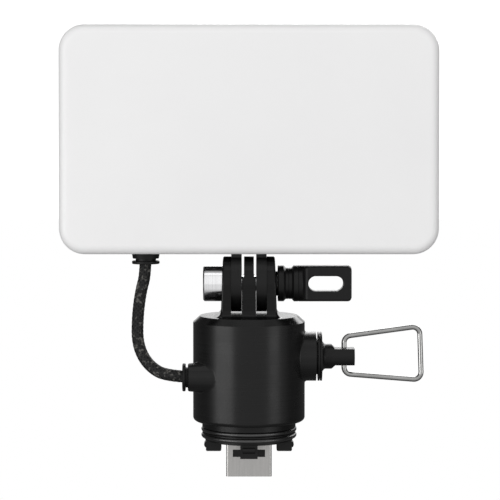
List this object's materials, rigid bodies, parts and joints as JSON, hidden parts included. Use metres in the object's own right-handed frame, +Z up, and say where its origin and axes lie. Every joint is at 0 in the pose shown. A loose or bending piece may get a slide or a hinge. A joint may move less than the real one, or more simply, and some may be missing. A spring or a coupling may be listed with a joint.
{
  "type": "led panel light",
  "caption": "Small plug-in LED panel light: opal rectangular panel on a clamped fork over a round barrel, with a braided lead, dimmer with wire bail and USB plug.",
  "frame": {"origin": "centre of the barrel's annular bottom seat face", "axes": "+Z up the barrel's axis, -Y to the front where the panel shines, +X to the dimmer's side"},
  "size_m": [0.0996, 0.0296, 0.119],
  "materials": {
    "black_anodised": "fine turned, satin black",
    "black_plastic": "moulded, matt",
    "polished_steel": "polished",
    "stainless": "drawn wire",
    "steel_screw": "zinc plated",
    "brass": "machined",
    "nickel": "nickel plated",
    "gold_contact": "gold plated",
    "rubber": "matt",
    "braid": "woven black braid",
    "opal": "satin opal",
    "white_plastic": "matt",
    "board_white": "white solder mask",
    "led_yellow": "phosphor",
    "pad_grey": "soft",
    "board_green": "solder mask",
    "component": "moulded"
  },
  "bodies": {
    "barrel": {"barrel_housing": "black_anodised", "fork_cap": "black_anodised", "cap_screws": "steel_screw", "clamp_bolt": "polished_steel", "barrel_cable_gland": "rubber", "cable": "braid", "bushing_gasket": "rubber", "dimmer_bushing": "black_anodised", "bushing_nut": "stainless", "potentiometer_body": "component", "driver_board": "board_green", "driver_components": "component", "plug_spigot": "black_plastic", "spigot_screws": "steel_screw", "o_ring_upper": "rubber", "o_ring_lower": "rubber", "usb_carrier": "black_plastic", "usb_shell": "nickel", "usb_tongue": "white_plastic", "usb_contacts": "gold_contact"},
    "panel": {"diffuser_cover": "opal", "back_housing": "black_anodised", "seal_gasket": "rubber", "reflector_frame": "white_plastic", "led_board": "board_white", "led_chips": "led_yellow", "thermal_pad": "pad_grey", "back_screws": "steel_screw", "panel_lug": "black_plastic", "lug_screws": "steel_screw", "panel_cable_gland": "rubber"},
    "washer": {"clamp_washer": "black_plastic"},
    "knob": {"clamp_knob": "black_plastic", "knob_insert": "brass"},
    "dimmer": {"dimmer_knob": "black_plastic", "dimmer_shaft": "stainless", "dimmer_set_screw": "steel_screw"},
    "bail": {"wire_bail": "stainless"}
  },
  "joints": [
    {"name": "panel_tilt", "type": "hinge", "parent": "barrel", "child": "panel", "pos_m": [0, 0, 0.0362], "axis": [1, 0, 0], "range_deg": [-90, 90], "deforming": ["cable"]},
    {"name": "clamp_slide", "type": "slide", "parent": "barrel", "child": "washer", "axis": [1, 0, 0], "range_m": [0, 0.0007]},
    {"name": "clamp_turn", "type": "hinge", "parent": "washer", "child": "knob", "pos_m": [0, 0, 0.0362], "axis": [1, 0, 0], "range_deg": [0, 360]},
    {"name": "dimmer_turn", "type": "hinge", "parent": "barrel", "child": "dimmer", "pos_m": [0, 0, 0.01685], "axis": [1, 0, 0], "range_deg": [-140, 140]},
    {"name": "bail_swing", "type": "hinge", "parent": "dimmer", "child": "bail", "pos_m": [0.02515, 0, 0.01685], "axis": [0, 0, -1], "range_deg": [-35, 35]}
  ],
  "couplings": [
    {"joint": "clamp_turn", "follows": "clamp_slide", "rad_per_m": 8975.9}
  ]
}
